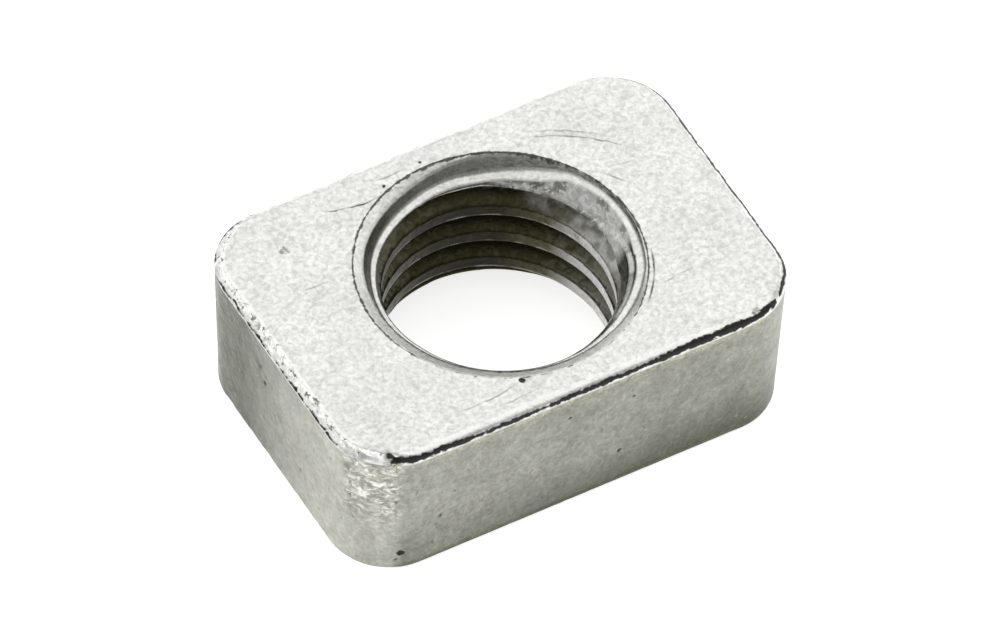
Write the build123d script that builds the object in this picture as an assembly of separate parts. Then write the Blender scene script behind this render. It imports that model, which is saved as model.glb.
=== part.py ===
"""Rectangular square nut with a coarse M12 thread.

One steel block, blanked from plate and rounded at its four upright corners, with a tapped hole
through its middle that is countersunk at both faces.
Millimetres, +Z up. The origin is the centre of the underside, with the long side along X.
"""
from build123d import *
from build123d.topology import SkipClean
import math
import os

# Block: its overall plan is met just under the broken upper rim, and its walls lean in from there down
length = 22.6
width = 15.8
thickness = 7.9
corner_radius = 3.2
wall_lean_angle = 2.3
# Widths of the 45 degree breaks along the rims of the upper face and of the underside
upper_break = 0.35
lower_break = 0.2

# Right-hand coarse thread, with the bore left at the upper end of its tolerance
thread_major_diameter = 12.0
thread_minor_diameter = 10.4
thread_pitch = 1.75
thread_flank_angle = 60.0
thread_root_flat = 0.22
# Where the middle of the groove's root meets the underside, in degrees from +X
thread_start_angle = -155.0
# The bore's circle is drawn in arcs, the first of them from this angle, so that each turn of the
# thread's crest is a chain of short faces
bore_arcs = 3
bore_arc_start = 10.0

# Countersinks that open the thread at the two faces
countersink_angle = 90.0
upper_countersink_diameter = 13.0
lower_countersink_diameter = 13.0


def block():
    """The blank without its hole: a rounded rectangle drawn down with a lean and up into the rim's break."""
    plan = RectangleRounded(length, width, corner_radius)
    shoulder = Plane.XY.offset(thickness - upper_break)
    walls = extrude(shoulder * plan, amount=thickness - upper_break, dir=(0, 0, -1), taper=wall_lean_angle)
    rim = extrude(shoulder * plan, amount=upper_break, taper=45)
    underside = walls.faces().sort_by(Axis.Z)[0]
    return rim + chamfer(underside.edges(), lower_break)


def bore():
    """The plain hole at the thread's crests, long enough to pass both faces."""
    radius = thread_minor_diameter / 2
    arc = 360 / bore_arcs
    starts = [bore_arc_start + step * arc for step in range(bore_arcs)]
    circle = Wire([Edge.make_circle(radius, start_angle=start, end_angle=start + arc) for start in starts])
    return Pos(0, 0, -thickness / 2) * Solid.extrude(Face(circle), Vector(0, 0, 2 * thickness))


def countersink(diameter):
    """A cone as wide as the diameter at height 0, with its point straight below."""
    depth = diameter / 2 / math.tan(math.radians(countersink_angle / 2))
    return Pos(0, 0, -depth / 2) * Cone(0, diameter / 2, depth)


def groove_turn():
    """One turn of the thread's groove: a trapezium between the flanks, carried along a helix."""
    root_radius = thread_major_diameter / 2
    # The profile starts inside the bore, so that each turn cuts clear through its wall
    mouth_radius = thread_minor_diameter / 2 - thread_pitch / 8
    root_half = thread_root_flat / 2
    mouth_half = root_half + (root_radius - mouth_radius) * math.tan(math.radians(thread_flank_angle / 2))
    outline = Polygon(
        (root_radius, root_half),
        (root_radius, -root_half),
        (mouth_radius, -mouth_half),
        (mouth_radius, mouth_half),
        align=None,
    )
    path = Helix(thread_pitch, thread_pitch, root_radius)
    return sweep(Plane.XZ * outline, path=path, is_frenet=True)


def thread_grooves():
    """The groove turn after turn, from a pitch below the underside to past the upper face."""
    turn = Rot(0, 0, thread_start_angle) * groove_turn()
    count = math.ceil(thickness / thread_pitch) + 2
    return [Pos(0, 0, (step - 1) * thread_pitch) * turn for step in range(count)]


def nut():
    """The finished nut: the blank, drilled, countersunk at both faces and tapped."""
    blank = block()
    # Cleaning would join the bore's arcs again
    with SkipClean():
        drilled = blank - bore()
        drilled -= Pos(0, 0, thickness) * countersink(upper_countersink_diameter)
        drilled -= Rot(180, 0, 0) * countersink(lower_countersink_diameter)
        return drilled - thread_grooves()


os.makedirs("parts", exist_ok=True)
export_step(nut(), "parts/nut.step")
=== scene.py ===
"""Rectangular square nut, M12, zinc-plated: the visual model that stands for the CAD node.

The front is towards -Y, the left towards -X, and the far side towards +Y.
"""
import math
from types import SimpleNamespace

import bpy
import numpy as np
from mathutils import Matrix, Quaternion, Vector


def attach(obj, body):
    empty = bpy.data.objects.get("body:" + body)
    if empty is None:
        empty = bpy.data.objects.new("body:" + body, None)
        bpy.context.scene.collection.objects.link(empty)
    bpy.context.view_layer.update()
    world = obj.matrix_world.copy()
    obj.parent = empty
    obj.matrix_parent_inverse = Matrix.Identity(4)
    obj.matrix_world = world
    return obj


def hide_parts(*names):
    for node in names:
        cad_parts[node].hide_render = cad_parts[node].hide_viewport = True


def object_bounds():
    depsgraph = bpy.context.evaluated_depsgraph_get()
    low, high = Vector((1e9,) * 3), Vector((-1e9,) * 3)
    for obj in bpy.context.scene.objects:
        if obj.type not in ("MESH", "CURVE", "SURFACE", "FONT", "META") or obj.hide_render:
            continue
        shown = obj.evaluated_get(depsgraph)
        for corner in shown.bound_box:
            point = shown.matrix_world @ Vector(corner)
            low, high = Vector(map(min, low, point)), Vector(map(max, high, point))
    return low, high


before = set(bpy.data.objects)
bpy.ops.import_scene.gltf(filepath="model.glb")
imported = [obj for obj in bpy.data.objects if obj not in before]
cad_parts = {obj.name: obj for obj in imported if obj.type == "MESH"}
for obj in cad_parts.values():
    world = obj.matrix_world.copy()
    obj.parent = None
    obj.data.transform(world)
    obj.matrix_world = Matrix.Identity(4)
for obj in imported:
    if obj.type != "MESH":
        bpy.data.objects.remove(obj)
CAD_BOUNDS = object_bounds()

bl_info = {
    "name": "Square nut",
    "version": (1, 0, 0),
    "blender": (4, 5, 0),
    "location": "3D View > Sidebar > Square nut",
    "description": "Builds a zinc-plated rectangular nut with its thread and a studio round it",
    "category": "Add Mesh",
}

# All shapes are worked out in millimetres and put into the mesh in metres
MM = 0.001
CAD_SIZE = [high - low for low, high in zip(*CAD_BOUNDS)]
# Keeps a division from zero
TINY = 1e-12
# Random values along each side of the cube that noise repeats
LATTICE = 32

# Points round the hole, and rows along the cross-section in each of its zones
POINTS_ROUND = 520
ROWS_LOWER_CONE = 4
ROWS_BORE = 86
ROWS_STEPS = (4, 5, 4)
ROWS_FACE = 22
ROWS_UPPER_BREAK = 10
ROWS_WALL = 46
ROWS_LOWER_BREAK = 3
ROWS_UNDERSIDE = 6
# How much of the face's rows' crowding towards its two rims is plain cosine
FACE_CROWDING = 0.6

# Countersink steps: angle round the hole from +X, then how far down a 45 degree cone each of the
# five step lines runs, in mm
STEP_LINES = np.array([
    (-28.4, 0.10, 0.17, 0.54, 0.65, 0.84),
    (-17.0, 0.09, 0.18, 0.50, 0.62, 0.78),
    (-6.0, 0.05, 0.19, 0.40, 0.68, 0.86),
    (4.0, 0.02, 0.18, 0.36, 0.88, 1.02),
    (14.0, 0.01, 0.17, 0.33, 1.05, 1.15),
    (31.6, 0.02, 0.21, 0.46, 1.12, 1.22),
    (41.6, 0.03, 0.37, 0.74, 1.12, 1.22),
    (51.6, 0.04, 0.50, 0.83, 1.04, 1.16),
    (61.6, 0.07, 0.60, 0.90, 1.02, 1.13),
    (71.6, 0.10, 0.65, 0.94, 1.05, 1.16),
    (81.6, 0.18, 0.64, 0.95, 1.07, 1.18),
    (96.6, 0.34, 0.71, 0.97, 1.08, 1.16),
    (106.6, 0.40, 0.76, 1.04, 1.15, 1.23),
    (121.6, 0.42, 0.79, 1.05, 1.15, 1.25),
    (141.6, 0.42, 0.78, 1.04, 1.13, 1.25),
    (156.6, 0.50, 0.83, 1.08, 1.16, 1.27),
    (171.6, 0.58, 0.84, 1.09, 1.17, 1.27),
    (201.6, 0.62, 0.80, 1.08, 1.18, 1.27),
    (241.6, 0.60, 0.80, 1.12, 1.22, 1.27),
    (291.6, 0.50, 0.70, 1.00, 1.15, 1.25),
    (311.6, 0.28, 0.40, 0.78, 0.90, 1.04),
])
# How steeply each zone between two step lines falls, in degrees
STEP_SLOPES = (22.0, 68.0, 14.0, 62.0, 30.0, 66.0)
# The lines were set from the front: how much a drop looks there like a loss in radius, and the
# degrees from +X to the far side, where it does so most
SIGHT_DROP, SIGHT_ANGLE = 0.857, 61.6

# How dull the bore is round the hole, by degrees from +X, as oil and as painted shade that is darkest
# on the far side: its light cone, its steep step, the thread's crests (with more painted shade above
# 1) and its flanks. The last is how dark the line at the upper rim is
BORE_TONES = np.array([
    (-180.0, 0.25, 0.75, 0.30, 0.88, 0.80),
    (-150.0, 0.40, 0.45, 0.25, 0.80, 0.55),
    (-120.0, 0.38, 0.45, 0.30, 0.80, 0.30),
    (-60.0, 0.25, 0.45, 0.20, 0.80, 0.40),
    (-45.0, 0.55, 0.45, 0.10, 0.75, 0.70),
    (-28.0, 0.05, 0.40, 0.10, 0.80, 0.85),
    (0.0, 0.25, 0.45, 0.25, 0.85, 0.95),
    (20.0, 0.25, 0.35, 0.50, 0.95, 0.80),
    (40.0, 0.25, 0.34, 1.10, 1.00, 0.85),
    (62.0, 0.25, 0.32, 1.80, 1.00, 0.90),
    (100.0, 0.15, 0.50, 1.85, 1.00, 0.90),
    (125.0, 0.00, 0.75, 1.40, 0.95, 0.75),
    (150.0, 0.00, 0.85, 0.80, 0.90, 0.85),
    (180.0, 0.25, 0.75, 0.30, 0.88, 0.80),
])
# Half the blur of a crest's edges in mm, and the bare line on its lower edge: half its width in mm,
# and how much less dull it is
CREST_BLUR = 0.02
BARE_LINE, BARE_SHINE = 0.06, 0.5
# The torn stretch below the ledge: degrees from +X to its middle, degrees from there at which it is
# gone and whole, how deep it reaches in mm by degrees from +X, and how much less dull it is, at
# least and on top of that in patches
TORN_MIDDLE, TORN_REACH = 24, (43, 31)
TORN_DEPTH = ((10, 45, 64), (1.9, 1.1, 0.3))
TORN_SHINE, TORN_PATCHES = 0.35, 0.75
# Painted highlights as glints on it: degrees from +X, how far below the ledge and how wide they are,
# in mm
GLINTS = ((42.7, 0.35, 0.12), (29.0, 0.35, 0.13), (21.0, 0.62, 0.11), (19.8, 2.30, 0.11),
          (36.0, 0.55, 0.08), (50.0, 0.18, 0.10), (56.0, 0.10, 0.09), (9.0, 0.75, 0.09))
GLINT_STRENGTH = 2
# The second ledge, painted bright as a highlight: how dull it and the line above it are, the degrees
# over which it begins on the left, and the degrees over which it begins and ends on the right
LEDGE_DULL, LINE_DULL = 0.12, 0.9
LEDGE_LEFT, LEDGE_RIGHT, LEDGE_END = (62, 70), (-5, -15), (-60, -50)
# Rows this near to a step line, in mm, count as on it
LEDGE_MARGIN = 0.01
# A dark line at the hole's upper rim, in mm: how far out it reaches, how far in on the near side and
# how much farther on the far side, degrees to the middle of the far side, degrees from there at
# which that starts and is full, and how far down the line reaches
RIM_OUT, RIM_IN, RIM_FARTHER = 0.07, 0.08, 0.10
RIM_MIDDLE, RIM_REACH, RIM_DEEP = 70, (55, 25), 0.6

# Dents: place and radius in mm, depth in mm, and how dark it is inside
DENTS = (
    (-9.63, -7.20, 7.9, 0.20, 0.12, 1.0),
    (-9.50, -7.62, 7.75, 0.32, 0.30, 1.0),
    (-10.35, -7.0, 7.7, 0.38, 0.10, 0.25),
    (8.6, -7.65, 7.8, 0.35, 0.12, 0.5),
    (-2.41, -6.19, 7.9, 0.15, 0.05, 1.0),
    (-0.25, 6.8, 7.9, 0.12, 0.02, 0.8),
    (-2.32, 6.34, 7.9, 0.12, 0.03, 0.9),
    (-8.0, 5.2, 7.9, 0.30, 0.02, 0.45),
    (-7.2, -7.8, 2.9, 0.22, 0.08, 0.7),
    (-7.3, -7.8, 2.1, 0.17, 0.08, 0.7),
    (-1.74, -7.8, 2.25, 0.15, 0.06, 0.7),
    (-0.86, -7.8, 6.14, 0.14, 0.05, 0.6),
    (1.86, -7.8, 2.21, 0.20, 0.08, 0.6),
    (2.37, -7.8, 5.82, 0.14, 0.05, 0.6),
    (3.49, -7.8, 2.58, 0.14, 0.05, 0.5),
    (8.89, -7.8, 3.77, 0.20, 0.10, 0.6),
    (-9.1, -7.6, 1.1, 0.24, 0.14, 1.0),
    (-9.3, -7.5, 0.7, 0.18, 0.10, 0.9),
    (-11.2, 1.46, 5.72, 0.16, 0.06, 0.6),
    (-11.2, 1.07, 4.91, 0.20, 0.08, 0.6),
    (-11.2, 0.12, 3.72, 0.14, 0.05, 0.5),
    (-11.2, -1.35, 2.96, 0.16, 0.06, 0.6),
    (-11.2, -2.02, 2.22, 0.20, 0.10, 0.7),
    (-11.2, -3.1, 2.2, 0.20, 0.10, 0.45),
    (-11.2, -4.83, 6.11, 0.15, 0.06, 0.6),
    (-11.2, -6.4, 3.4, 0.20, 0.08, 0.5),
)
# How ragged the dents are
DENT_RAGGED = 0.4
# The blow that flattened one corner: a point of its facet in mm, and the facet's normal
BLOW_POINT = (-9.98, -6.58, 7.9)
BLOW_NORMAL = (-0.50, -0.50, 0.707)
# Two upright lines of pits on either side of it, in degrees round the corner's centre, their half
# width and depth in mm, how dark they are, and the height over which they begin
PIT_LINES = (-114.0, -152.0)
PIT_HALF, PIT_DEPTH, PIT_DARK, PIT_RISE = 0.14, 0.08, 0.5, (2.4, 3.6)

# Where marks begin and are full, as places in mm: the straight front edge, the corner that took
# the blows, how the corner's roughness grows with height, the left wall, and the left and right ends
FRONT_SIDE, FRONT_START, FRONT_END = (-6.9, -7.4), (-9.75, -9.5), (10.2, 9.6)
BLOWN_X, BLOWN_Y, BLOWN_RISE = (-8.7, -9.4), (-5.3, -6.1), (1.6, 5.2)
LEFT_WALL, LEFT_RIM, LEFT_END, RIGHT_END = (-10.4, -10.9), (-7.5, -9.5), (-8.0, -9.5), (3.0, 9.0)
# The rolled front edge: by how much its bend's power passes 1, and where, as minus the sine of the turn
ROLL, ROLL_FROM = 1.1, (0.5, 0.7)
# Depths in mm: the walls' roughness, more of it on the left, and the wrinkles on the corner, more
# of them higher up; the crumbled rim, the other breaks, and the hole's rim with its half width
ROUGH_DEPTH, ROUGH_LEFT = 0.008, 0.022
WRINKLE_DEPTH, WRINKLE_HIGHER = 0.02, 0.07
CRUMBLE_DEPTH, BREAK_DEPTH = 0.16, 0.02
HOLE_DEPTH, HOLE_HALF = 0.05, 0.10
# The facet's own unevenness, and how far past its plane it is full, in mm
FACET_NOISE, FACET_FULL = 0.06, 0.05

# Places across the upper break run from 0 at the face to 1 at the wall, and this is far from it
OFF_BREAK = -9.0
# The black band, painted shade on the front's break: its upper limit across the break by X in mm,
# its lower limit, and how soft they are
BAND_UPPER = ((-9.0, -5.0, 2.0, 6.0), (0.28, 0.50, 0.50, 0.16))
BAND_LOWER, BAND_SOFT = 1.03, 0.3
# The thin line of painted shade round the other sides: its place across the break, half its width,
# and how much nearer to the face it runs along the right side, with the X in mm over which it
# becomes unbroken
LINE_ACROSS, LINE_HALF, LINE_NEARER, LINE_WHOLE = 0.92, 0.20, 0.3, (9.6, 10.4)
# Taken from a mask, this leaves nothing of it
NOWHERE = 2
# Places across the break: the stain's middle and half width, where crumbs begin and how wide they
# reach, with their strength off the left side, and where the painted highlight along the front
# face's edge begins
STAIN_ACROSS, STAIN_HALF, HIGHLIGHT_FROM = 1.7, 0.8, (-0.7, -0.2)
CRUMBS_FROM, CRUMBS_WIDE, CRUMBS_ELSEWHERE = -0.6, 1.5, 0.6

# How dull the walls are, as the plating's own dullness and as painted shade: the plain part, and the
# painted shade that the far end, the foot and the lowest rim add, the left wall by Y and what its
# top adds, and the corner by Z
WALL_DULL, END_SHADE, FOOT_SHADE, LOWEST_SHADE = 0.55, 0.12, 0.23, 0.30
END_X, FOOT_Z, LOWEST_Z = (-8.0, 8.0), (3.8, 0.0), (0.6, 0.1)
LEFT_SHADE, TOP_SHADE, TOP_Z = ((-7.0, -1.0, 3.0), (0.26, 0.54, 1.0)), 0.06, (4.0, 7.0)
CORNER_SHADE = ((0.0, 7.5), (0.46, 0.20))
LEFT_X, CORNER_X, CORNER_Y = (-9.8, -11.0), (-8.9, -9.5), (-5.9, -6.7)

# Scratches on the face, each a piece of a circle: centre and radius in mm, then the middle of the
# piece, half its length and its strength
SCRATCHES = (
    (-3.41, 10.91, 4.88, -4.17, 6.09, 1.6, 1.3),
    (1.86, -1.96, 8.44, 6.9, 4.8, 3.2, 0.8),
    (2.2, -1.4, 8.1, 6.4, 5.6, 1.9, 0.6),
    (3.98, -0.11, 3.79, 6.85, 2.37, 1.2, 0.8),
    (-4.6, 1.6, 8.0, -4.0, -6.4, 1.7, 0.7),
    (-3.2, 2.3, 9.2, -2.9, -6.9, 1.3, 0.5),
    (7.6, -13.0, 9.0, 6.6, -4.1, 1.2, 0.5),
    (-1.8, 16.5, 9.6, -1.7, 6.9, 0.9, 0.6),
    (0.0, 0.0, 6.78, 5.75, -3.55, 1.7, 1.6),
    (9.0, 12.0, 9.4, 7.5, 2.7, 1.0, 0.4),
    (-6.6, 16.0, 13.2, -7.6, 2.85, 0.9, 0.5),
)

# Patterns of the surface: size in mm, detail, how far the pattern is warped, and its stretch in
# X, Y and Z. The frosted grain of bright zinc is finer than this, and is drawn at 0.2 to 0.6 mm
PATTERNS = {
    "wisps": (0.60, 4.0, 1.8, (1, 1, 1)),
    "flecks": (0.22, 1.5, 0.6, (1, 1, 1)),
    "clouds": (2.8, 2.0, 0.5, (1, 1, 1)),
    "mottle": (0.8, 4.0, 0.8, (1, 1, 1)),
    "streaks": (0.26, 2.0, 0.6, (1, 1, 2)),
    "wrinkles": (0.30, 3.0, 1.0, (1.3, 1.3, 0.8)),
    "crumbs": (0.24, 3.0, 0.8, (1, 1, 1)),
    "ragged": (0.26, 4.0, 0.5, (1, 1, 1)),
    "breaks": (0.9, 2.0, 0.5, (1, 1, 1)),
}
# What each pattern does to the brightness: the part of the surface it is on, the pattern's values
# that are darkest and brightest, and their shades
SHADES = (
    ("plain", "wisps", 0.36, 0.60, 0.82, 1.08),
    ("plain", "flecks", 0.34, 0.66, 0.85, 1.09),
    ("plain", "clouds", 0.35, 0.65, 0.95, 1.03),
    ("wall", "clouds", 0.35, 0.65, 0.94, 1.04),
    ("wall", "mottle", 0.35, 0.65, 0.88, 1.06),
    ("wall", "streaks", 0.36, 0.60, 0.92, 1.02),
    # Painted shade in the hollows of the corner's wrinkles
    ("rough", "wrinkles", 0.36, 0.60, 0.55, 1.06),
)
# Layers over the plating: the attribute that says where, the pattern that makes it ragged and how
# far it reaches, the values where it starts and is full, its colour and its strength
LAYERS = (
    # Painted highlight: sparkle on the walls
    ("wall", "flecks", 4.0, 1.80, 2.30, "rubbed_and_highlight_colour", 0.15),
    ("wall", "streaks", 4.0, 1.70, 2.00, "wall_dull_and_shade", 0.60),
    # Painted highlight on the crests of the corner's wrinkles
    ("rough", "wrinkles", 5.0, 1.25, 1.85, "rubbed_and_highlight_colour", 0.50),
    # Bright edges: the facet and the left crumbs partly rubbed and partly painted highlight, and a painted
    # highlight along the front face's edge
    ("burnished", "wisps", 1.0, 0.30, 0.80, "rubbed_and_highlight_colour", 0.85),
    # Painted shade in the crumbs
    ("crumbs", "crumbs", 3.0, 1.15, 1.45, "wall_dull_and_shade", 0.85),
    ("stain", "crumbs", 2.0, 0.50, 1.10, "stain_colour", 0.50),
    # Oil in the thread, and painted shade that is darkest on the far side
    ("bore", "wisps", 0.25, 0.0, 1.0, "oil_and_shade_colour", 1.00),
    # Painted shade on the crests of the thread's far side
    ("soot", "wisps", 0.40, 0.0, 0.8, "crest_shade_colour", 0.95),
    # Painted highlight: glints on the torn wall
    ("torn", "flecks", 3.0, 1.10, 1.45, "rubbed_and_highlight_colour", 0.90),
    ("rim", "ragged", 1.3, 0.30, 0.60, "dark_mark_colour", 0.85),
    ("dirt", "ragged", 0.7, 0.30, 0.60, "dark_mark_colour", 0.95),
    # Painted shade: the black band on the front's break and the thin line on the other breaks
    ("band", "ragged", 2.0, 0.00, 0.40, "dark_mark_colour", 0.97),
)
# Dark marks: the line at the hole's rim, the dents and pits, and the band and line of painted shade. They are
# rougher and less metallic
DARK_MARKS = ("rim", "dirt", "band")
DARK_MARK_ROUGHNESS, DARK_MARK_METAL, DARK_MARK_SPECULAR = 0.5, 0.35, 0.2
# The wisps' values that are smoothest and roughest, and the roughness there
SATIN = (0.3, 0.7, 0.28, 0.42)
# Height of the grain in mm, and what is in relief besides, in multiples of it
GRAIN_DEPTH = 0.02
RELIEF = (("rough", "wrinkles", 4.0), ("crumbs", "crumbs", 3.0))
# Scratches: half width and bend in mm, the part of the half length at full strength, and the
# pattern's values at which they are weakest and whole, with their strength there
SCRATCH_HALF, SCRATCH_WARP, SCRATCH_FULL = 0.07, 0.25, 0.4
SCRATCH_BREAKS = (0.36, 0.54, 0.25, 1.0)
# How metallic the torn wall looks: its scattered light hides most of its reflections
TORN_METAL = 0.1
ATTRIBUTES = ("wall", "tone", "rough", "burnished", "crumbs", "stain", "bore", "soot", "torn", "rim",
              "dirt", "band")
# A Mix node's two colours among its inputs, and its colour among its outputs
MIX_A, MIX_B, MIX_RESULT = 6, 7, 2

# Studio: brightness of the surroundings, how dark they get, towards where, and from which cosine
# of the angle to it on
WORLD_LIGHT, WORLD_DARK = 0.88, 0.36
DARK_SIDE, DARK_FROM = (-0.07, -0.83, 0.55), 0.3
# What the floor adds for the eye, and half its side and the softbox's sides in metres
FLOOR_LIFT = 0.79
FLOOR_HALF, SOFTBOX_SIZE = 3.0, (1.0, 0.8)
# The point in mm that the camera looks at, and its nearest and farthest distance in metres
CAMERA_TARGET, CAMERA_CLIP = (0.18642, 0.1836, 3.95), (0.05, 20.0)


def to_linear(code):
    """An sRGB hex colour as linear red, green, blue and alpha: each channel goes through the sRGB curve."""
    channels = [int(code[i:i + 2], 16) / 255 for i in (1, 3, 5)]
    return [c / 12.92 if c <= 0.04045 else ((c + 0.055) / 1.055) ** 2.4 for c in channels] + [1.0]


def smooth_step(value):
    """0 below 0, 1 above 1, and 3t^2 - 2t^3 between."""
    t = np.clip(value, 0.0, 1.0)
    return t * t * (3 - 2 * t)


def ramp(value, start, full):
    """A smooth step from 0 at the start to 1 where it is full, whichever of the two is larger."""
    return smooth_step((value - start) / (full - start))


def noise(points, size, seed):
    """Smooth noise from -1 to 1: random values on a cubic lattice of that size in mm, blended
    across each cell."""
    lattice = np.random.default_rng(seed).uniform(-1, 1, (LATTICE,) * 3)
    scaled = points / np.asarray(size, dtype=float)
    cell = np.floor(scaled).astype(int)
    blend = smooth_step(scaled - cell)
    total = np.zeros(points.shape[:-1])
    for corner in np.ndindex(2, 2, 2):
        weight = np.prod(np.where(corner, blend, 1 - blend), axis=-1)
        index = (cell + corner) % LATTICE
        total += weight * lattice[index[..., 0], index[..., 1], index[..., 2]]
    return total


def plan_radius(angle, half_x, half_y, radius):
    """Distance from the axis to a rounded rectangle along each polar angle: to the side or the
    front where the ray meets its straight part, and otherwise to the far crossing with the
    corner's circle."""
    c, s = np.abs(np.cos(angle)), np.abs(np.sin(angle))
    to_side = half_x / np.maximum(c, TINY)
    to_front = half_y / np.maximum(s, TINY)
    centre_x, centre_y = half_x - radius, half_y - radius
    along = centre_x * c + centre_y * s
    to_corner = along + np.sqrt(np.maximum(along**2 - centre_x**2 - centre_y**2 + radius**2, 0))
    on_side = to_side * s <= centre_y
    on_front = to_front * c <= centre_x
    return np.where(on_side, to_side, np.where(on_front, to_front, to_corner))


def thread_offset(angle, height, nut):
    """Distance along the axis from the nearest groove's root: the root climbs one pitch a turn."""
    root = nut.pitch * (angle - nut.start_angle) / (2 * np.pi)
    turns = (height - root) / nut.pitch
    return (turns - np.round(turns)) * nut.pitch


def groove_radius(angle, height, nut):
    """Radius of the thread's groove: the root's radius on the root's flat, and less along the two
    flanks by the distance from it over the tangent of half their angle."""
    beyond = np.maximum(np.abs(thread_offset(angle, height, nut)) - nut.root_flat / 2, 0)
    return nut.major_diameter / 2 - beyond / math.tan(nut.flank_angle / 2)


def crest_offset(nut):
    """Where the groove's flank meets the crest, along the axis from the middle of its root."""
    depth = (nut.major_diameter - nut.minor_diameter) / 2
    return nut.root_flat / 2 + depth * math.tan(nut.flank_angle / 2)


def snap_rows(angle, height, step_heights, nut):
    """Moves rows onto the groove's four edge lines and the lower step lines, where one runs nearer
    than half a row."""
    half = (height[1] - height[0]) / 2
    crest, root = crest_offset(nut), nut.root_flat / 2
    offset = thread_offset(angle, height, nut)
    gaps = [line - height for line in step_heights]
    gaps += [edge - offset for edge in (-crest, -root, root, crest)]
    moved = height
    for gap in gaps:
        moved = np.where(np.abs(gap) < half, height + gap, moved)
    return np.clip(moved, height[0], height[-1] + 2 * half)


def parts(count):
    """A column of the parts of a whole: one over the count, two over the count and so on to 1."""
    return np.arange(1, count + 1)[:, None] / count


def by_turn(angle, turns, columns):
    """Each column's values at the angles round the hole, straight between the table's turns in degrees."""
    return [np.interp(np.degrees(angle), turns, column, period=360) for column in columns.T]


def step_points(angle, nut):
    """Radius and depth of the countersink's rim and step lines: between two lines the surface falls
    at the zone's slope, over a radius that makes it look as wide as the same stretch of a plain 45
    degree cone. The last point lies on the thread's crest."""
    lines = [0 * angle] + by_turn(angle, STEP_LINES[:, 0], STEP_LINES[:, 1:])
    drop = SIGHT_DROP * np.maximum(np.cos(angle - math.radians(SIGHT_ANGLE)), 0)
    radii, depths = [nut.countersink_diameter / 2 + 0 * angle], [0 * angle]
    for zone, slope in enumerate(STEP_SLOPES):
        fall = math.tan(math.radians(slope))
        width = np.maximum(radii[-1] - nut.minor_diameter / 2, 0)
        if zone + 1 < len(lines):
            seen = (lines[zone + 1] - lines[zone]) * (1 + drop) / (1 + drop * fall)
            width = np.minimum(seen, width)
        radii.append(radii[-1] - width)
        depths.append(depths[-1] + width * fall)
    return np.array(radii), np.array(depths)


def countersink_rows(radii, depths, nut):
    """Rows from the upper rim down the first steps, evenly spaced within each zone."""
    def spread(lines):
        zones = [lines[k] + parts(count) * (lines[k + 1] - lines[k]) for k, count in enumerate(ROWS_STEPS)]
        return np.vstack([lines[:1]] + zones)

    return spread(radii), nut.height - spread(depths)


def bore_rows(angle, radii, depths, nut):
    """Rows from the lower rim up to the first steps: the lower cone, the crest's cylinder and the
    last steps as one radius for each height, cut by the groove where that is wider."""
    rim = nut.countersink_diameter / 2
    cone_top = rim - nut.major_diameter / 2
    first = len(ROWS_STEPS)
    top_height = nut.height - depths[first]
    cone_height = np.arange(ROWS_LOWER_CONE)[:, None] / ROWS_LOWER_CONE * cone_top + 0 * angle
    part = np.arange(ROWS_BORE)[:, None] / ROWS_BORE
    height = snap_rows(angle, cone_top + part * (top_height - cone_top), nut.height - depths[first + 1:], nut)
    height = np.vstack([cone_height, height])
    depth = nut.height - height
    upper = radii[first] + 0 * depth
    for k in range(first, len(radii) - 1):
        run = np.maximum(depths[k + 1] - depths[k], TINY)
        upper += (radii[k + 1] - radii[k]) * np.clip((depth - depths[k]) / run, 0, 1)
    profile = np.maximum(upper, rim - height)
    return np.maximum(profile, groove_radius(angle, height, nut)), height


def block_rows(angle, nut):
    """Rows from the upper rim out over the face, down the break, wall and lower break, and back
    underneath. On the breaks and the wall a row is the rounded rectangle, inset by the break or the
    lean at its height, and on the two faces it lies a part of the way from there to the hole."""
    rim = nut.countersink_diameter / 2
    lean = math.tan(nut.wall_lean)
    shoulder = nut.height - nut.upper_break

    def plan(inset):
        return plan_radius(angle, nut.length / 2 - inset, nut.width / 2 - inset, nut.corner_radius - inset)

    wave = np.cos(np.pi * parts(ROWS_FACE))
    out = 0.5 - 0.5 * wave * (FACE_CROWDING + (1 - FACE_CROWDING) * np.abs(wave))
    # Along the front the edge is rolled over and not cut straight: a power of the part bends the break
    roll = 1 + ROLL * ramp(-np.sin(angle), *ROLL_FROM)
    down, low = parts(ROWS_UPPER_BREAK), parts(ROWS_LOWER_BREAK)
    wall = shoulder + (nut.lower_break - shoulder) * parts(ROWS_WALL)
    foot = plan((shoulder - nut.lower_break) * lean + nut.lower_break * low)
    back = parts(ROWS_UNDERSIDE + 1)[:-1]
    zones = (
        (rim + out * (plan(nut.upper_break) - rim), nut.height),
        (plan(nut.upper_break * (1 - down)**roll), nut.height - nut.upper_break * down**roll),
        (plan((shoulder - wall) * lean), wall),
        (foot, nut.lower_break * (1 - low)),
        (foot[-1] + back * (rim - foot[-1]), 0.0),
    )
    radii = np.vstack([radius for radius, _ in zones])
    return radii, np.vstack([height + 0 * radius for radius, height in zones])


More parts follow.
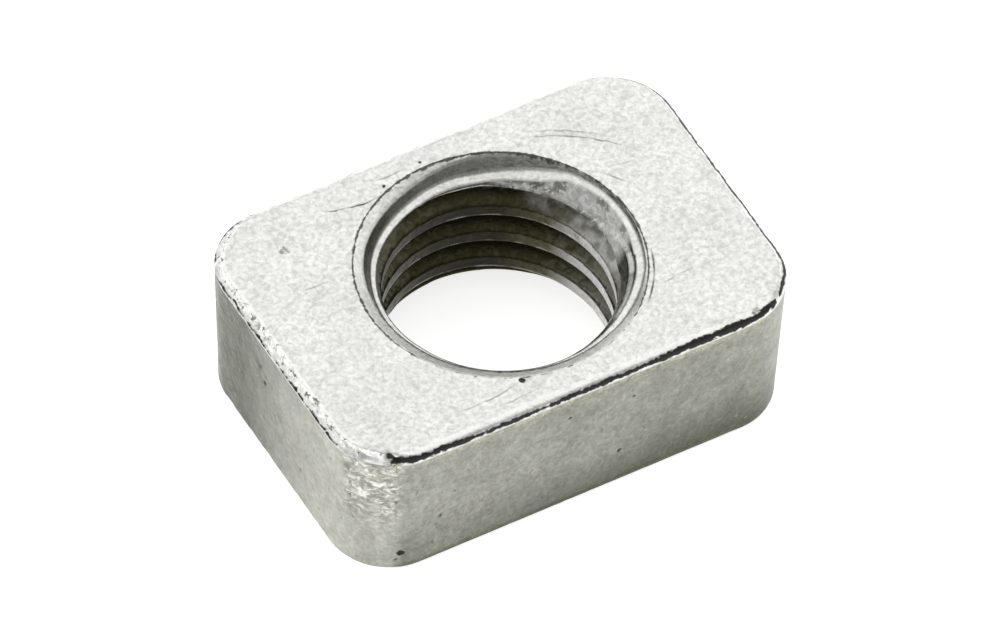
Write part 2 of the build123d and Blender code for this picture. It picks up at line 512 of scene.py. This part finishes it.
def nut_grid(nut):
    """The closed surface as rows of points: up the bore, out over the face, down the wall and back
    underneath. Returns the points and, for each, whether it is wall, how far across the upper break
    it lies (0 at the face, 1 at the wall), and how dull, torn and shaded the bore is there, as oil,
    painted shade and painted glints."""
    angle = np.linspace(0, 2 * np.pi, POINTS_ROUND, endpoint=False)
    radii, depths = step_points(angle, nut)
    step_radius, step_height = countersink_rows(radii, depths, nut)
    bore_radius, bore_height = bore_rows(angle, radii, depths, nut)
    block_radius, block_height = block_rows(angle, nut)
    radius = np.vstack([bore_radius, step_radius[::-1], block_radius])
    height = np.vstack([bore_height, step_height[::-1], block_height])
    points = np.stack([radius * np.cos(angle), radius * np.sin(angle), height], axis=-1)

    first_step = len(bore_radius)
    first_face = first_step + len(step_radius)
    first_wall = first_face + ROWS_FACE + ROWS_UPPER_BREAK
    last_wall = first_wall + ROWS_WALL + ROWS_LOWER_BREAK
    wall = np.zeros(height.shape)
    wall[first_wall:last_wall] = 1
    across = np.full(height.shape, OFF_BREAK)
    first_break = first_wall - ROWS_UPPER_BREAK
    face = slice(first_face, first_break)
    across[face] = (radius[face] - radius[first_break - 1]) / nut.upper_break
    across[first_break:first_wall] = parts(ROWS_UPPER_BREAK)
    shoulder = nut.height - nut.upper_break
    across[first_wall:] = 1 + (shoulder - height[first_wall:]) / nut.upper_break
    bore, torn, soot = np.zeros((3,) + height.shape)
    tones = bore_tone(angle, bore_radius, bore_height, nut.height - depths, nut)
    bore[:first_step], torn[:first_step], soot[:first_step] = tones
    # The countersink's steps: dullness by angle round the hole, partly painted shade
    cone, steep = by_turn(angle, BORE_TONES[:, 0], BORE_TONES[:, 1:3])
    tones = np.stack([cone, steep, 0 * angle])
    bore[first_step:first_face - 1] = np.repeat(tones, ROWS_STEPS, axis=0)[::-1]
    return points, wall, across, {"bore": bore, "torn": torn, "soot": soot}


def bore_tone(angle, radius, height, step_heights, nut):
    """How dull, torn and shaded each point of the bore is: oil, and painted shade that makes the
    thread's flanks and crests darkest on the far side; the lower edge of each crest is a thin bare
    line, and below the ledge a stretch is torn but clean, with a few painted glints."""
    points = np.stack([radius * np.cos(angle), radius * np.sin(angle), height], axis=-1)
    turn = np.degrees(np.angle(np.exp(1j * angle)))
    # Oil, and painted shade that is darkest on the far side
    crests, flanks = by_turn(angle, BORE_TONES[:, 0], BORE_TONES[:, 3:5])
    offset, crest = thread_offset(angle, height, nut), crest_offset(nut)
    on_crest = ramp(np.abs(offset) - crest, -CREST_BLUR, CREST_BLUR)
    dull = flanks + (np.minimum(crests, 1) - flanks) * on_crest
    # Painted shade: the far side's crests, where the table passes 1
    soot = np.clip(crests - 1, 0, 1) * on_crest
    # The lower edge of each crest, bare in places
    bare = np.exp(-((offset - crest) / BARE_LINE)**2) * ramp(noise(points, 0.7, 32), -0.35, 0.15)
    dull -= BARE_SHINE * bare
    soot -= bare
    # Clean and torn below the ledge, and less far down towards the left
    below = step_heights[len(ROWS_STEPS)] - height
    depth = np.interp(turn, *TORN_DEPTH)
    torn = ramp(below, 1.5 * depth, 0.5 * depth) * ramp(np.abs(turn - TORN_MIDDLE), *TORN_REACH)
    patches = ramp(noise(points, (0.35, 0.35, 0.6), 33), -0.245, 0.105)
    dull -= torn * (TORN_SHINE + TORN_PATCHES * patches)
    # A second, narrow ledge below the fourth step line, painted bright as a highlight: on the left,
    # under a dark line, and on the right
    left = ramp(turn, *LEDGE_LEFT)
    right = ramp(turn, *LEDGE_RIGHT) * ramp(turn, *LEDGE_END)
    top, foot = step_heights[4] + LEDGE_MARGIN, step_heights[5] - LEDGE_MARGIN
    ledge = (height <= top) & (height >= foot)
    dull = np.where(ledge, dull + (LEDGE_DULL - dull) * np.maximum(left, right), dull)
    dull = np.where(height > top, dull + (LINE_DULL - dull) * left, dull)
    # Painted highlights: glints, which the material paints bright
    for glint, under, size in GLINTS:
        around = nut.minor_diameter / 2 * np.radians(turn - glint)
        spot = np.exp(-(np.hypot(around, below - under) / size)**2)
        torn = np.maximum(torn, GLINT_STRENGTH * spot)
    return np.clip(dull, 0, 1), np.clip(torn, 0, GLINT_STRENGTH), np.clip(soot, 0, 1)


def grid_normals(points):
    """Outward unit normals: the cross product of the differences along and across the rows."""
    along = np.roll(points, -1, axis=1) - np.roll(points, 1, axis=1)
    across = np.roll(points, -1, axis=0) - np.roll(points, 1, axis=0)
    normals = np.cross(across, along)
    return normals / np.maximum(np.linalg.norm(normals, axis=-1, keepdims=True), TINY)


def front_stretch(x, y):
    """1 along the straight front edge, between the notch and the far corner."""
    return ramp(y, *FRONT_SIDE) * ramp(x, *FRONT_START) * ramp(x, *FRONT_END)


def blown_corner(x, y):
    """1 on the corner that took the blows."""
    return ramp(x, *BLOWN_X) * ramp(y, *BLOWN_Y)


def rim_marks(points, across):
    """Marks along the upper rim as masks that the material makes ragged: painted shade as the black
    band low on the front's break and as the thin wandering line at the foot of the other breaks, the
    stain under the band, the crumbs between that line and the face, and the bright edges: crumbs
    partly rubbed and partly painted highlight, and a painted highlight along the front face's edge."""
    x, y = points[..., 0], points[..., 1]
    front, corner = front_stretch(x, y), blown_corner(x, y)
    left = ramp(x, *LEFT_END) * (1 - front)
    # Painted shade: a black band low on the front's break
    upper = np.interp(x, *BAND_UPPER) + 0.12 * noise(points, 0.9, 21)
    lower = BAND_LOWER + 0.10 * noise(points, 0.7, 22)
    inside = np.clip(np.minimum(across - upper, lower - across) / BAND_SOFT, -1, 1)
    inside -= 1.2 * ramp(x, *RIGHT_END) * ramp(noise(points, 0.32, 23), 0.35, 0.50)
    # The thin line of painted shade is whole along the right side and broken elsewhere
    beside = ramp(x, *LINE_WHOLE)
    wander = 0.20 * noise(points, 0.55, 24) + 0.10 * noise(points, 1.3, 26)
    away = np.abs(across - LINE_ACROSS + LINE_NEARER * beside + wander)
    line = 0.5 + 0.4 * beside - away / (LINE_HALF + 0.04 * left + 0.10 * beside)
    gaps = smooth_step(0.1 - 0.5 * left - 1.6 * noise(points, 0.9, 25))
    line -= 0.9 * (1 - beside) * gaps + NOWHERE * corner
    band = np.maximum(inside * front - NOWHERE * (1 - front), line - NOWHERE * front)
    stain = front * np.clip(1 - np.abs(across - STAIN_ACROSS) / STAIN_HALF, 0, 1)
    # Crumbs reach over the face's edge. They are bright, partly rubbed and partly painted highlight,
    # and a painted highlight runs along the front face's edge
    crumbly = np.sin(np.pi * np.clip((across - CRUMBS_FROM) / CRUMBS_WIDE, 0, 1))
    crumbly = np.clip(1.5 * crumbly, 0, 1)
    # Painted highlight along the front face's edge
    rubbed = ramp(across, *HIGHLIGHT_FROM) * front * (across < upper + 0.1)
    return {"band": np.clip(band, -NOWHERE, 1), "stain": stain,
            "crumbs": crumbly * np.maximum(left, CRUMBS_ELSEWHERE * (1 - front)),
            "burnished": np.maximum(0.6 * rubbed, crumbly * left)}


def hole_rim(points, nut):
    """A dark line at the hole's upper rim: a tent across the rim, wider inwards on its far side."""
    radius = np.hypot(points[..., 0], points[..., 1]) - nut.countersink_diameter / 2
    turn = np.degrees(np.arctan2(points[..., 1], points[..., 0]))
    strength = np.interp(turn, BORE_TONES[:, 0], BORE_TONES[:, 5])
    inwards = RIM_IN + RIM_FARTHER * ramp(np.abs(turn - RIM_MIDDLE), *RIM_REACH)
    tent = 1 - np.where(radius > 0, radius / RIM_OUT, -radius / inwards)
    return strength * np.clip(tent, 0, 1) * (points[..., 2] > nut.height - RIM_DEEP)


def wear(points, wall, across, nut):
    """Pushes points in along their normals for dents, rough walls, the blown corner and crumbled
    rims, and gives how dark the dents and pits are, how rough they are, and where the facet is. A
    dent is a bell: its depth times e to minus the square of the distance over its radius."""
    normals = grid_normals(points)
    x, y, z = np.moveaxis(points, -1, 0)
    depth, dirt = np.zeros((2,) + wall.shape)
    for centre_x, centre_y, centre_z, radius, drop, dark in DENTS:
        distance = np.linalg.norm(points - (centre_x, centre_y, centre_z), axis=-1) / radius
        hollow = np.exp(-distance**2) * (1 + DENT_RAGGED * noise(points, 0.25, 5))
        depth += drop * hollow
        dirt = np.maximum(dirt, dark * ramp(hollow, 0.125, 0.75))
    # The corner that took the blows is rough from its rim to its middle, between two lines of pits
    corner = blown_corner(x, y)
    upper, left = ramp(z, *BLOWN_RISE), ramp(x, *LEFT_WALL)
    rough = noise(points, (0.35, 0.35, 0.9), 11) + 0.6 * noise(points, (0.2, 0.2, 0.45), 12)
    wrinkled = noise(points, (0.6, 0.6, 0.28), 13) + 0.6 * noise(points, (0.3, 0.3, 0.2), 14)
    depth += wall * (ROUGH_DEPTH + ROUGH_LEFT * left) * np.maximum(rough, 0)
    depth += wall * corner * (WRINKLE_DEPTH + WRINKLE_HIGHER * upper) * np.maximum(wrinkled, 0)
    roughness = wall * np.maximum(corner * (0.15 + 0.85 * upper), 0.3 * left)
    inset = nut.corner_radius
    turn = np.degrees(np.arctan2(y + nut.width / 2 - inset, x + nut.length / 2 - inset))
    away = np.min([np.abs(turn - line) for line in PIT_LINES], axis=0)
    away = np.radians(away) * inset + 0.08 * noise(points, 0.6, 27)
    pits = ramp(noise(points, (0.5, 0.5, 0.32), 18), 0.05, 0.30) * wall * ramp(z, *PIT_RISE)
    pits *= np.exp(-(away / PIT_HALF)**2)
    depth += PIT_DEPTH * pits
    dirt = np.maximum(dirt, PIT_DARK * pits)
    # The left rim is crumbled, the other breaks are a little uneven, and the hole's rim is torn
    on_break = np.sin(np.pi * np.clip(across, 0, 1))
    crumbled = on_break**0.7 * ramp(x, *LEFT_RIM) * (1 - front_stretch(x, y))
    crumbs = noise(points, 0.55, 15) + 0.8 * noise(points, 0.3, 16)
    depth += CRUMBLE_DEPTH * crumbled * np.abs(crumbs)
    depth += BREAK_DEPTH * on_break * np.abs(noise(points, 0.4, 17))
    rim = np.exp(-((np.hypot(x, y) - nut.countersink_diameter / 2) / HOLE_HALF)**2)
    rim *= z > nut.height - 2 * HOLE_HALF
    depth += HOLE_DEPTH * rim * np.abs(noise(points, 0.35, 19))
    # Beyond the facet's plane everything was beaten back onto it
    normal = np.array(BLOW_NORMAL) / np.linalg.norm(BLOW_NORMAL)
    beyond = (points - BLOW_POINT) @ normal + FACET_NOISE * noise(points, 0.45, 20)
    beyond = np.maximum(beyond, 0) * (z > nut.height / 2)
    facet = ramp(beyond, 0, FACET_FULL)
    moved = points - normals * (depth * (1 - 0.5 * facet))[..., None] - normal * beyond[..., None]
    return moved, {"dirt": np.clip(dirt, 0, 1), "rough": roughness * (1 - facet)}, facet


def wall_dullness_and_shade(points, wall):
    """How dull the walls are: the plating's own dullness, and painted shade that darkens the left wall
    towards the back and the other walls towards the foot."""
    x, y, z = np.moveaxis(points, -1, 0)
    along = END_SHADE * ramp(x, *END_X)
    # Painted shade: darker towards the far end at +X, towards the foot and at the lowest rim
    tone = WALL_DULL + along + (FOOT_SHADE + along) * ramp(z, *FOOT_Z)
    tone += LOWEST_SHADE * ramp(z, *LOWEST_Z)
    # Painted shade: the left wall darker towards the back and near its top
    left = np.interp(y, *LEFT_SHADE) + TOP_SHADE * ramp(z, *TOP_Z)
    tone += (left - tone) * ramp(x, *LEFT_X)
    # Painted shade: the corner darker towards its foot
    tone += (np.interp(z, *CORNER_SHADE) - tone) * ramp(x, *CORNER_X) * ramp(y, *CORNER_Y)
    return wall * np.clip(tone, 0, 1)


def closed_mesh(name, points, attributes):
    """A mesh from a grid that closes both ways: each cell is split along its shorter diagonal,
    the normals are smooth, and each attribute has a value at each point."""
    rows, columns = points.shape[:2]
    flat = points.reshape(-1, 3)
    row, column = np.meshgrid(np.arange(rows), np.arange(columns), indexing="ij")
    a = row * columns + column
    b = row * columns + (column + 1) % columns
    c = (row + 1) % rows * columns + (column + 1) % columns
    d = (row + 1) % rows * columns + column
    shorter = np.linalg.norm(flat[a] - flat[c], axis=-1) <= np.linalg.norm(flat[b] - flat[d], axis=-1)
    first = np.where(shorter[..., None], np.stack([a, c, b], -1), np.stack([a, d, b], -1))
    second = np.where(shorter[..., None], np.stack([a, d, c], -1), np.stack([b, d, c], -1))
    faces = np.concatenate([first.reshape(-1, 3), second.reshape(-1, 3)])
    mesh = bpy.data.meshes.new(name)
    mesh.vertices.add(len(flat))
    mesh.vertices.foreach_set("co", (flat * MM).ravel())
    mesh.loops.add(faces.size)
    mesh.loops.foreach_set("vertex_index", faces.ravel())
    mesh.polygons.add(len(faces))
    mesh.polygons.foreach_set("loop_start", np.arange(0, faces.size, 3))
    mesh.polygons.foreach_set("use_smooth", np.ones(len(faces), dtype=bool))
    mesh.update(calc_edges=True)
    for label, values in attributes.items():
        mesh.attributes.new(label, "FLOAT", "POINT").data.foreach_set("value", values.ravel())
    mesh.validate()
    return mesh


def add_node(tree, kind, inputs=(), output=0, **settings):
    """Adds a shader node of that kind, sets its properties, links or sets its inputs, in their
    order or by name or number, and returns the output with that name or number."""
    node = tree.nodes.new("ShaderNode" + kind)
    for key, value in settings.items():
        setattr(node, key, value)
    named = inputs if isinstance(inputs, dict) else dict(enumerate(inputs))
    for key, value in named.items():
        if isinstance(value, bpy.types.NodeSocket):
            tree.links.new(value, node.inputs[key])
        else:
            node.inputs[key].default_value = value
    return node.outputs[output]


def new_material(name):
    """An empty node material, its tree and its output node."""
    material = bpy.data.materials.new(name)
    material.use_nodes = True
    material.node_tree.nodes.clear()
    return material, material.node_tree, material.node_tree.nodes.new("ShaderNodeOutputMaterial")


def scratch_mask(tree, place, broken):
    """Strength of the scratches: near each circle's line, within half the piece's length of its
    middle, slightly bent and broken by a pattern."""
    flat = add_node(tree, "VectorMath", (place, (1, 1, 0)), operation="MULTIPLY")
    warp = add_node(tree, "VectorMath", {0: broken, "Scale": SCRATCH_WARP * MM}, operation="SCALE")
    flat = add_node(tree, "VectorMath", (flat, warp), operation="ADD")
    mask = 0.0
    for x, y, radius, mid_x, mid_y, half, strength in SCRATCHES:
        centre, middle = (x * MM, y * MM, 0), (mid_x * MM, mid_y * MM, 0)
        away = add_node(tree, "VectorMath", (flat, centre), "Value", operation="DISTANCE")
        away = add_node(tree, "Math", (away, radius * MM), operation="SUBTRACT")
        away = add_node(tree, "Math", (away,), operation="ABSOLUTE")
        line = add_node(tree, "MapRange", (away, 0.0, SCRATCH_HALF * MM, 1.0, 0.0))
        along = add_node(tree, "VectorMath", (flat, middle), "Value", operation="DISTANCE")
        fade = (half * SCRATCH_FULL * MM, half * MM)
        piece = add_node(tree, "MapRange", (along, *fade, strength, 0.0))
        mask = add_node(tree, "Math", (line, piece, mask), operation="MULTIPLY_ADD")
    whole = add_node(tree, "MapRange", (broken, *SCRATCH_BREAKS))
    return add_node(tree, "Math", (mask, whole), operation="MULTIPLY")


def zinc_plated_steel(nut):
    """Stamped steel with a thin electroplated coat of zinc. The coat is a satin, frosted, nearly
    white metal on the rolled faces and a duller grey one on the sheared walls, and handling left
    dark oil in the thread. The dents and the hole's rim carry dark marks; painted shade darkens the
    walls, the thread's far side and the breaks, and painted highlights brighten edges, wrinkles and
    glints."""
    material, tree, output = new_material("Zinc-plated steel")
    place = add_node(tree, "TexCoord", output="Object")
    part = {}
    for name in ATTRIBUTES:
        part[name] = add_node(tree, "Attribute", output="Fac", attribute_name=name)
    part["plain"] = add_node(tree, "Math", (1.0, part["rough"]), operation="SUBTRACT")
    pattern = {}
    for name, (size, detail, warp, stretch) in PATTERNS.items():
        scale = [1 / (size * times * MM) for times in stretch]
        way = add_node(tree, "Mapping", {"Vector": place, "Scale": scale})
        pattern[name] = add_node(tree, "TexNoise",
                                 {"Vector": way, "Scale": 1.0, "Detail": detail, "Distortion": warp})

    # The walls' plating, darkened towards its dull colour by its own dullness and by painted shade
    wall = add_node(tree, "Mix", {0: part["tone"], MIX_A: nut.wall_bright, MIX_B: nut.wall_dull_and_shade},
                    MIX_RESULT, data_type="RGBA")
    colour = add_node(tree, "Mix", {0: part["wall"], MIX_A: nut.face_colour, MIX_B: wall},
                      MIX_RESULT, data_type="RGBA")
    for where, name, *shades in SHADES:
        shade = add_node(tree, "MapRange", (pattern[name], *shades))
        shade = add_node(tree, "Mix", {0: part[where], 2: 1.0, 3: shade})
        colour = add_node(tree, "VectorMath", {0: colour, "Scale": shade}, operation="SCALE")

    face = add_node(tree, "Math", (1.0, part["wall"]), operation="SUBTRACT")
    scratches = scratch_mask(tree, place, pattern["breaks"])
    scratches = add_node(tree, "Math", (scratches, face), operation="MULTIPLY", use_clamp=True)
    colour = add_node(tree, "Mix", {0: scratches, MIX_A: colour, MIX_B: nut.wall_dull_and_shade},
                      MIX_RESULT, data_type="RGBA")
    dark_marks = 0.0
    for where, name, swing, low, high, finish, strength in LAYERS:
        ragged = add_node(tree, "Math", (pattern[name], swing, part[where]),
                          operation="MULTIPLY_ADD")
        middle = swing / 2
        mask = add_node(tree, "MapRange", (ragged, low + middle, high + middle, 0.0, strength))
        colour = add_node(tree, "Mix", {0: mask, MIX_A: colour, MIX_B: getattr(nut, finish)},
                          MIX_RESULT, data_type="RGBA")
        if where in DARK_MARKS:
            dark_marks = add_node(tree, "Math", (mask, dark_marks), operation="MAXIMUM")

    rise = add_node(tree, "Math", (pattern["wisps"], pattern["flecks"]), operation="ADD")
    for where, name, times in RELIEF:
        extra = add_node(tree, "Math", (pattern[name], part[where]), operation="MULTIPLY")
        rise = add_node(tree, "Math", (extra, times, rise), operation="MULTIPLY_ADD")
    bump = add_node(tree, "Bump", {"Height": rise, "Strength": 1.0, "Distance": GRAIN_DEPTH * MM})
    satin = add_node(tree, "MapRange", (pattern["wisps"], *SATIN))
    roughness = add_node(tree, "Mix", {0: dark_marks, 2: satin, 3: DARK_MARK_ROUGHNESS})
    metal = add_node(tree, "MapRange", (dark_marks, 0.0, 1.0, 1.0, DARK_MARK_METAL))
    torn = add_node(tree, "MapRange", (part["torn"], 0.0, 1.0, 1.0, TORN_METAL))
    metal = add_node(tree, "Math", (metal, torn), operation="MULTIPLY")
    shader = add_node(tree, "BsdfPrincipled",
                      {"Base Color": colour, "Metallic": metal, "Roughness": roughness, "Normal": bump,
                       "Specular IOR Level": DARK_MARK_SPECULAR})
    tree.links.new(shader, output.inputs["Surface"])
    return material


def studio_floor():
    """Matt white paper: it keeps the shadow, and shows as white to the camera and in reflections."""
    material, tree, output = new_material("White paper backdrop")
    paper = add_node(tree, "BsdfDiffuse", {"Color": to_linear("#F2F2F2")})
    seen = 0.0
    for ray in ("Is Camera Ray", "Is Glossy Ray", "Is Transmission Ray"):
        light = add_node(tree, "LightPath", output=ray)
        seen = add_node(tree, "Math", (light, seen), operation="MAXIMUM")
    lift = add_node(tree, "Math", (seen, FLOOR_LIFT), operation="MULTIPLY")
    glow = add_node(tree, "Emission", {"Color": to_linear("#FFFFFF"), "Strength": lift})
    floor = add_node(tree, "AddShader", (paper, glow))
    tree.links.new(floor, output.inputs["Surface"])
    return material


def studio_world():
    """White surroundings that darken smoothly towards one direction, as a studio does behind its
    camera. The camera itself sees them plain white."""
    world = bpy.data.worlds.new("Studio")
    world.use_nodes = True
    tree = world.node_tree
    tree.nodes.clear()
    way = add_node(tree, "TexCoord", output="Generated")
    towards = add_node(tree, "VectorMath", (way, DARK_SIDE), "Value", operation="DOT_PRODUCT")
    level = add_node(tree, "MapRange", (towards, DARK_FROM, 1.0, WORLD_LIGHT, WORLD_DARK),
                     interpolation_type="SMOOTHSTEP")
    seen = add_node(tree, "LightPath", output="Is Camera Ray")
    level = add_node(tree, "Mix", {0: seen, 2: level, 3: 1.0})
    sky = add_node(tree, "Background", {"Color": to_linear("#FFFFFF"), "Strength": level})
    tree.links.new(sky, tree.nodes.new("ShaderNodeOutputWorld").inputs["Surface"])
    return world


def measures(settings):
    """A group's settings as plain numbers: lengths in mm, angles in radians, colours as RGBA."""
    plain = {}
    for key in type(settings).__annotations__:
        value = getattr(settings, key)
        kind = settings.bl_rna.properties[key]
        if kind.is_array:
            value = tuple(value)
        elif kind.unit == "LENGTH":
            value = value / MM
        plain[key] = value
    return SimpleNamespace(**plain)


def stand(scene, name, data, azimuth, elevation, distance, target=(0, 0, 0), roll=0):
    """Adds a lamp or camera at that distance from a target in mm and turns it to face the target.
    Azimuth 0 is in front."""
    flat = math.cos(elevation)
    way = Vector((math.sin(azimuth) * flat, -math.cos(azimuth) * flat, math.sin(elevation)))
    thing = bpy.data.objects.new(name, data)
    thing.location = Vector(target) * MM + way * distance
    thing.rotation_mode = "QUATERNION"
    thing.rotation_quaternion = way.to_track_quat("Z", "Y") @ Quaternion((0, 0, 1), roll)
    scene.collection.objects.link(thing)
    return thing


class NutSettings(bpy.types.PropertyGroup):
    """Sizes and colours of the nut"""
    length: bpy.props.FloatProperty(
        name="Length", description="Long side of the block", default=CAD_SIZE[0], unit="LENGTH")
    width: bpy.props.FloatProperty(
        name="Width", description="Short side of the block", default=CAD_SIZE[1], unit="LENGTH")
    height: bpy.props.FloatProperty(
        name="Thickness", description="Height of the block", default=CAD_SIZE[2], unit="LENGTH")
    corner_radius: bpy.props.FloatProperty(
        name="Corner radius", description="Radius of the upright corners", default=3.2 * MM, unit="LENGTH")
    wall_lean: bpy.props.FloatProperty(
        name="Wall lean", description="How far the walls lean in downwards", default=math.radians(2.3),
        subtype="ANGLE")
    upper_break: bpy.props.FloatProperty(
        name="Upper break", description="Width of the break along the upper rim", default=0.35 * MM,
        unit="LENGTH")
    lower_break: bpy.props.FloatProperty(
        name="Lower break", description="Width of the break along the lower rim", default=0.2 * MM,
        unit="LENGTH")
    major_diameter: bpy.props.FloatProperty(
        name="Major diameter", description="Diameter at the thread's root", default=12 * MM, unit="LENGTH")
    minor_diameter: bpy.props.FloatProperty(
        name="Minor diameter", description="Diameter at the thread's crest", default=10.4 * MM, unit="LENGTH")
    pitch: bpy.props.FloatProperty(
        name="Pitch", description="Climb of the thread in one turn", default=1.75 * MM, unit="LENGTH")
    flank_angle: bpy.props.FloatProperty(
        name="Flank angle", description="Angle between the thread's flanks", default=math.radians(60),
        subtype="ANGLE")
    root_flat: bpy.props.FloatProperty(
        name="Root flat", description="Width of the groove's root", default=0.22 * MM, unit="LENGTH")
    start_angle: bpy.props.FloatProperty(
        name="Thread start", description="Where the groove's root meets the underside, from +X",
        default=math.radians(-155), subtype="ANGLE")
    countersink_diameter: bpy.props.FloatProperty(
        name="Countersink", description="Diameter of the countersinks at the faces", default=13 * MM,
        unit="LENGTH")
    face_colour: bpy.props.FloatVectorProperty(
        name="Faces", description="Plating on the rolled faces", size=4, subtype="COLOR",
        default=to_linear("#E9E9E5"))
    wall_bright: bpy.props.FloatVectorProperty(
        name="Walls, bright", description="Plating on the brightest walls", size=4, subtype="COLOR",
        default=to_linear("#D9D9CE"))
    # The dull end also colours the painted shade on the walls and in the crumbs
    wall_dull_and_shade: bpy.props.FloatVectorProperty(
        name="Walls, dull", description="Plating on the dullest walls", size=4, subtype="COLOR",
        default=to_linear("#5C5E50"))
    # Oil in the thread, and the painted shade that is darkest on the far side
    oil_and_shade_colour: bpy.props.FloatVectorProperty(
        name="Oily thread", description="Plating under old oil in the thread", size=4, subtype="COLOR",
        default=to_linear("#46442F"))
    # Painted shade on the crests of the thread's far side
    crest_shade_colour: bpy.props.FloatVectorProperty(
        name="Sooty crests", description="Plating under the darkest oil, on the thread's crests", size=4,
        subtype="COLOR", default=to_linear("#24221A"))
    # Dark marks at the hole's rim and in the dents and pits, and the painted shade of the front's band and
    # the breaks' line
    dark_mark_colour: bpy.props.FloatVectorProperty(
        name="Grime", description="Grime along the rims and in the dents", size=4, subtype="COLOR",
        default=to_linear("#1E1D19"))
    stain_colour: bpy.props.FloatVectorProperty(
        name="Stain", description="Yellowed plating under the front's rim", size=4, subtype="COLOR",
        default=to_linear("#D6D2B4"))
    # Rubbed edges, and painted highlights: sparkle on the walls, the wrinkles' crests, the front face's edge
    # and glints
    rubbed_and_highlight_colour: bpy.props.FloatVectorProperty(
        name="Rubbed edges", description="Plating that was rubbed bright", size=4, subtype="COLOR",
        default=to_linear("#FBFBF8"))


class StageSettings(bpy.types.PropertyGroup):
    """Camera and lamp"""
    azimuth: bpy.props.FloatProperty(
        name="Azimuth", description="The camera's turn round the nut, from the front",
        default=math.radians(-31.07), subtype="ANGLE")
    elevation: bpy.props.FloatProperty(
        name="Elevation", description="The camera's height", default=math.radians(49.98), subtype="ANGLE")
    roll: bpy.props.FloatProperty(
        name="Roll", description="The camera's roll", default=math.radians(2.29), subtype="ANGLE")
    distance: bpy.props.FloatProperty(
        name="Distance", description="From the camera to the nut", default=1.056, unit="LENGTH")
    lens: bpy.props.FloatProperty(
        name="Lens", description="The camera's focal length", default=864.0, unit="CAMERA")
    lamp_azimuth: bpy.props.FloatProperty(
        name="Lamp azimuth", description="The softbox's turn round the nut, from the front",
        default=math.radians(149), subtype="ANGLE")
    lamp_elevation: bpy.props.FloatProperty(
        name="Lamp elevation", description="The softbox's height", default=math.radians(55), subtype="ANGLE")
    lamp_distance: bpy.props.FloatProperty(
        name="Lamp distance", description="From the softbox to the nut", default=0.7, unit="LENGTH")
    lamp_power: bpy.props.FloatProperty(
        name="Lamp power", description="Power of the softbox", default=0.7, unit="POWER")


class SCENE_OT_nut(bpy.types.Operator):
    """Builds the nut as one closed surface and gives it its material"""
    bl_idname = "scene.build_square_nut"
    bl_label = "Square nut"

    def execute(self, context):
        nut = measures(context.scene.nut_settings)
        points, wall, across, marks = nut_grid(nut)
        # The walls' dullness carries painted shade
        marks.update(rim_marks(points, across), rim=hole_rim(points, nut), tone=wall_dullness_and_shade(points, wall))
        points, worn, facet = wear(points, wall, across, nut)
        # The facet is bright, partly rubbed and partly painted highlight
        marks.update(worn, wall=wall * (1 - facet), burnished=np.maximum(marks["burnished"], facet))
        mesh = closed_mesh("square_nut", points, {name: marks[name] for name in ATTRIBUTES})
        piece = bpy.data.objects.new("square_nut", mesh)
        context.scene.collection.objects.link(piece)
        mesh.materials.append(zinc_plated_steel(nut))
        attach(piece, "root")
        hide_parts("nut")
        return {"FINISHED"}


class SCENE_OT_stage(bpy.types.Operator):
    """Sets up the floor, the soft light, the surroundings and the camera"""
    bl_idname = "scene.build_nut_stage"
    bl_label = "Stage"

    def execute(self, context):
        stage = context.scene.stage_settings
        scene = context.scene
        scene.view_settings.view_transform = "Standard"
        scene.world = studio_world()

        mesh = bpy.data.meshes.new("floor")
        corners = [(x * FLOOR_HALF, y * FLOOR_HALF, 0) for x, y in ((-1, -1), (1, -1), (1, 1), (-1, 1))]
        mesh.from_pydata(corners, [], [(0, 1, 2, 3)])
        floor = bpy.data.objects.new("floor", mesh)
        scene.collection.objects.link(floor)
        mesh.materials.append(studio_floor())

        data = bpy.data.lights.new("Softbox", "AREA")
        data.shape, data.energy = "RECTANGLE", stage.lamp_power
        data.size, data.size_y = SOFTBOX_SIZE
        stand(scene, "Softbox", data, stage.lamp_azimuth, stage.lamp_elevation, stage.lamp_distance)

        data = bpy.data.cameras.new("Camera")
        data.lens, data.clip_start, data.clip_end = stage.lens, *CAMERA_CLIP
        scene.camera = stand(scene, "Camera", data, stage.azimuth, stage.elevation, stage.distance,
                             CAMERA_TARGET, stage.roll)
        return {"FINISHED"}


class VIEW3D_PT_nut(bpy.types.Panel):
    """Lists the piece and the stage"""
    bl_idname = "VIEW3D_PT_square_nut"
    bl_label = "Square nut"
    bl_space_type = "VIEW_3D"
    bl_region_type = "UI"
    bl_category = "Square nut"

    def draw(self, context):
        for operator in OPERATORS:
            self.layout.operator(operator.bl_idname)


OPERATORS = (SCENE_OT_nut, SCENE_OT_stage)
CLASSES = (NutSettings, StageSettings) + OPERATORS + (VIEW3D_PT_nut,)


def register():
    for cls in CLASSES:
        bpy.utils.register_class(cls)
    bpy.types.Scene.nut_settings = bpy.props.PointerProperty(type=NutSettings)
    bpy.types.Scene.stage_settings = bpy.props.PointerProperty(type=StageSettings)


def unregister():
    del bpy.types.Scene.stage_settings
    del bpy.types.Scene.nut_settings
    for cls in reversed(CLASSES):
        bpy.utils.unregister_class(cls)


def main():
    register()
    bpy.ops.scene.build_square_nut()
    bpy.ops.scene.build_nut_stage()


if __name__ == "__main__":
    main()
